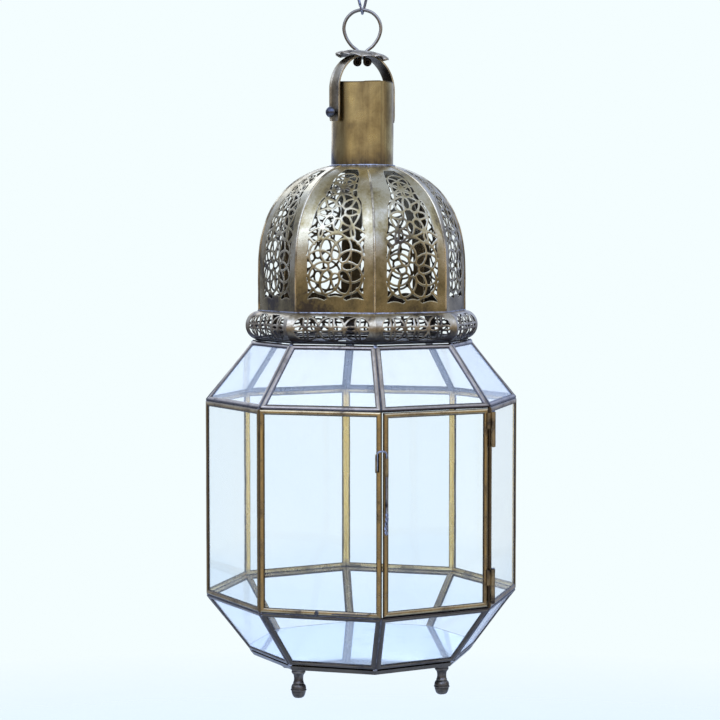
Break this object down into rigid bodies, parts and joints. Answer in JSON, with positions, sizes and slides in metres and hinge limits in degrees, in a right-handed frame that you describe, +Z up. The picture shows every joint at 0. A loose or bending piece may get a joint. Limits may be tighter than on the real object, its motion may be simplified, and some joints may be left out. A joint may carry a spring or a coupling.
{
  "type": "hanging lantern",
  "caption": "Hanging lantern: eight-sided brass-framed glass body with a hinged, latched door, under a pierced dome with neck, bail, ring and link, on small ball feet.",
  "frame": {"origin": "on the upright axis, at the level of the feet's undersides", "axes": "+Z up through the neck; the door's panel faces -Y, with its hinges on the +X side and its latch on the -X side"},
  "size_m": [0.291, 0.2956, 0.6972],
  "materials": {
    "lower_cage": "antique, patinated",
    "side_cage": "antique, patinated",
    "shoulder_cage": "antique, patinated",
    "base_frame": "antique, patinated",
    "base_glass": "clear, lightly dusty",
    "collar": "antique, patinated",
    "neck_tube": "antique, patinated",
    "neck_ring": "antique, patinated",
    "latch_clip": "antique, patinated",
    "lower_hinge_fixed": "antique, patinated",
    "upper_hinge_fixed": "antique, patinated",
    "lower_hinge_pin": "dull bare steel wire",
    "upper_hinge_pin": "dull bare steel wire",
    "bail_rivet_1": "dull bare steel wire",
    "bail_rivet_2": "dull bare steel wire",
    "foot_1": "antique, patinated",
    "foot_2": "antique, patinated",
    "foot_3": "antique, patinated",
    "foot_4": "antique, patinated",
    "dome_gore_1": "antique, patinated",
    "dome_gore_2": "antique, patinated",
    "dome_gore_3": "antique, patinated",
    "dome_gore_4": "antique, patinated",
    "dome_gore_5": "antique, patinated",
    "dome_gore_6": "antique, patinated",
    "dome_gore_7": "antique, patinated",
    "dome_gore_8": "antique, patinated",
    "lower_glass_1": "clear, lightly dusty",
    "lower_glass_2": "clear, lightly dusty",
    "lower_glass_3": "clear, lightly dusty",
    "lower_glass_4": "clear, lightly dusty",
    "lower_glass_5": "clear, lightly dusty",
    "lower_glass_6": "clear, lightly dusty",
    "lower_glass_7": "clear, lightly dusty",
    "lower_glass_8": "clear, lightly dusty",
    "shoulder_glass_1": "clear, lightly dusty",
    "shoulder_glass_2": "clear, lightly dusty",
    "shoulder_glass_3": "clear, lightly dusty",
    "shoulder_glass_4": "clear, lightly dusty",
    "shoulder_glass_5": "clear, lightly dusty",
    "shoulder_glass_6": "clear, lightly dusty",
    "shoulder_glass_7": "clear, lightly dusty",
    "shoulder_glass_8": "clear, lightly dusty",
    "side_glass_2": "clear, lightly dusty",
    "side_glass_3": "clear, lightly dusty",
    "side_glass_4": "clear, lightly dusty",
    "side_glass_5": "clear, lightly dusty",
    "side_glass_6": "clear, lightly dusty",
    "side_glass_7": "clear, lightly dusty",
    "side_glass_8": "clear, lightly dusty",
    "door_frame": "antique, patinated",
    "door_glass": "clear, lightly dusty",
    "latch_guide": "antique, patinated",
    "lower_hinge_door": "antique, patinated",
    "upper_hinge_door": "antique, patinated",
    "latch_pin": "dull bare steel wire",
    "bail": "antique, patinated",
    "petal_washer": "antique, patinated",
    "hang_ring": "antique, patinated",
    "hang_link": "dull bare steel wire"
  },
  "bodies": {
    "lantern": {"lower_cage": "lower_cage", "side_cage": "side_cage", "shoulder_cage": "shoulder_cage", "base_frame": "base_frame", "base_glass": "base_glass", "collar": "collar", "neck_tube": "neck_tube", "neck_ring": "neck_ring", "latch_clip": "latch_clip", "lower_hinge_fixed": "lower_hinge_fixed", "upper_hinge_fixed": "upper_hinge_fixed", "lower_hinge_pin": "lower_hinge_pin", "upper_hinge_pin": "upper_hinge_pin", "bail_rivet_1": "bail_rivet_1", "bail_rivet_2": "bail_rivet_2", "foot_1": "foot_1", "foot_2": "foot_2", "foot_3": "foot_3", "foot_4": "foot_4", "dome_gore_1": "dome_gore_1", "dome_gore_2": "dome_gore_2", "dome_gore_3": "dome_gore_3", "dome_gore_4": "dome_gore_4", "dome_gore_5": "dome_gore_5", "dome_gore_6": "dome_gore_6", "dome_gore_7": "dome_gore_7", "dome_gore_8": "dome_gore_8", "lower_glass_1": "lower_glass_1", "lower_glass_2": "lower_glass_2", "lower_glass_3": "lower_glass_3", "lower_glass_4": "lower_glass_4", "lower_glass_5": "lower_glass_5", "lower_glass_6": "lower_glass_6", "lower_glass_7": "lower_glass_7", "lower_glass_8": "lower_glass_8", "shoulder_glass_1": "shoulder_glass_1", "shoulder_glass_2": "shoulder_glass_2", "shoulder_glass_3": "shoulder_glass_3", "shoulder_glass_4": "shoulder_glass_4", "shoulder_glass_5": "shoulder_glass_5", "shoulder_glass_6": "shoulder_glass_6", "shoulder_glass_7": "shoulder_glass_7", "shoulder_glass_8": "shoulder_glass_8", "side_glass_2": "side_glass_2", "side_glass_3": "side_glass_3", "side_glass_4": "side_glass_4", "side_glass_5": "side_glass_5", "side_glass_6": "side_glass_6", "side_glass_7": "side_glass_7", "side_glass_8": "side_glass_8"},
    "door": {"door_frame": "door_frame", "door_glass": "door_glass", "latch_guide": "latch_guide", "lower_hinge_door": "lower_hinge_door", "upper_hinge_door": "upper_hinge_door"},
    "latch": {"latch_pin": "latch_pin"},
    "bail": {"bail": "bail", "petal_washer": "petal_washer"},
    "ring": {"hang_ring": "hang_ring"},
    "link": {"hang_link": "hang_link"}
  },
  "joints": [
    {"name": "door_swing", "type": "hinge", "parent": "lantern", "child": "door", "pos_m": [0.06127, -0.14791, 0.188], "axis": [0, 0, 1], "range_deg": [0, 120]},
    {"name": "latch_lift", "type": "slide", "parent": "door", "child": "latch", "axis": [0, 0, 1], "range_m": [0, 0.022]},
    {"name": "bail_swing", "type": "hinge", "parent": "lantern", "child": "bail", "pos_m": [0, 0, 0.57], "axis": [-0.9877, -0.1564, 0], "range_deg": [-105, 105]},
    {"name": "ring_swivel", "type": "hinge", "parent": "bail", "child": "ring", "pos_m": [0, 0, 0.628], "axis": [0, 0, 1], "continuous": true},
    {"name": "link_swing", "type": "hinge", "parent": "ring", "child": "link", "pos_m": [0, 0, 0.6723], "axis": [0.8746, -0.4848, 0], "range_deg": [-60, 60]}
  ]
}
